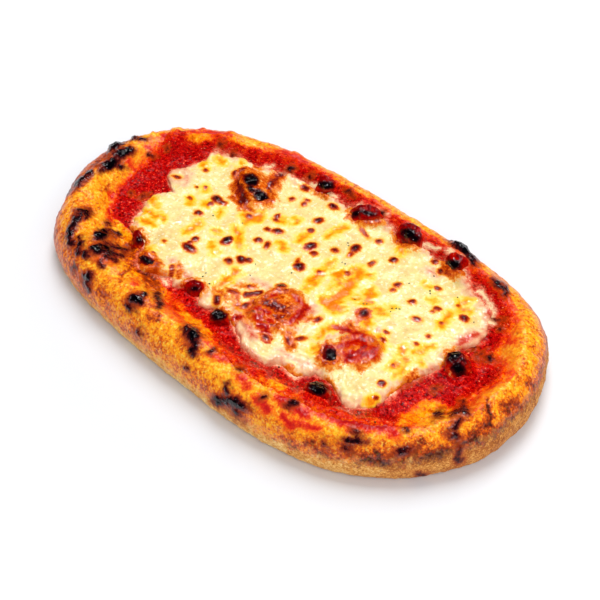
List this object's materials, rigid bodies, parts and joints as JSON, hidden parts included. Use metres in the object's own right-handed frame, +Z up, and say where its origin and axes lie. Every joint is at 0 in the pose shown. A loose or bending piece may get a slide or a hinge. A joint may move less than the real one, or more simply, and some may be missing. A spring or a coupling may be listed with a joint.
{
  "type": "nduja pizzetta",
  "caption": "Oval pizzetta with a puffed, scorched rim, tomato sauce, melted browned cheese and charred lumps of nduja.",
  "frame": {"origin": "middle of the flat underside, at the bottom of the bounding box", "axes": "+X along the long axis of the oval, +Y across it, +Z up through the toppings"},
  "size_m": [0.2428, 0.1358, 0.0244],
  "materials": {
    "crust": "baked bread, golden and scorched, floury on its side",
    "sauce": "glossy tomato pulp",
    "cheese": "glossy melted cheese with brown spots",
    "nduja": "oily and charred"
  },
  "bodies": {
    "root": {"crust": "crust", "sauce": "sauce", "cheese": "cheese", "nduja_back_west": "nduja", "nduja_back_small": "nduja", "nduja_back_curl": "nduja", "nduja_back_black": "nduja", "nduja_back_east": "nduja", "nduja_spread_middle": "nduja", "nduja_spread_east": "nduja", "nduja_front_middle": "nduja", "nduja_front_round": "nduja", "nduja_front_west": "nduja", "nduja_front_black": "nduja", "nduja_east": "nduja", "nduja_west_long": "nduja", "nduja_west_small": "nduja"}
  },
  "joints": []
}
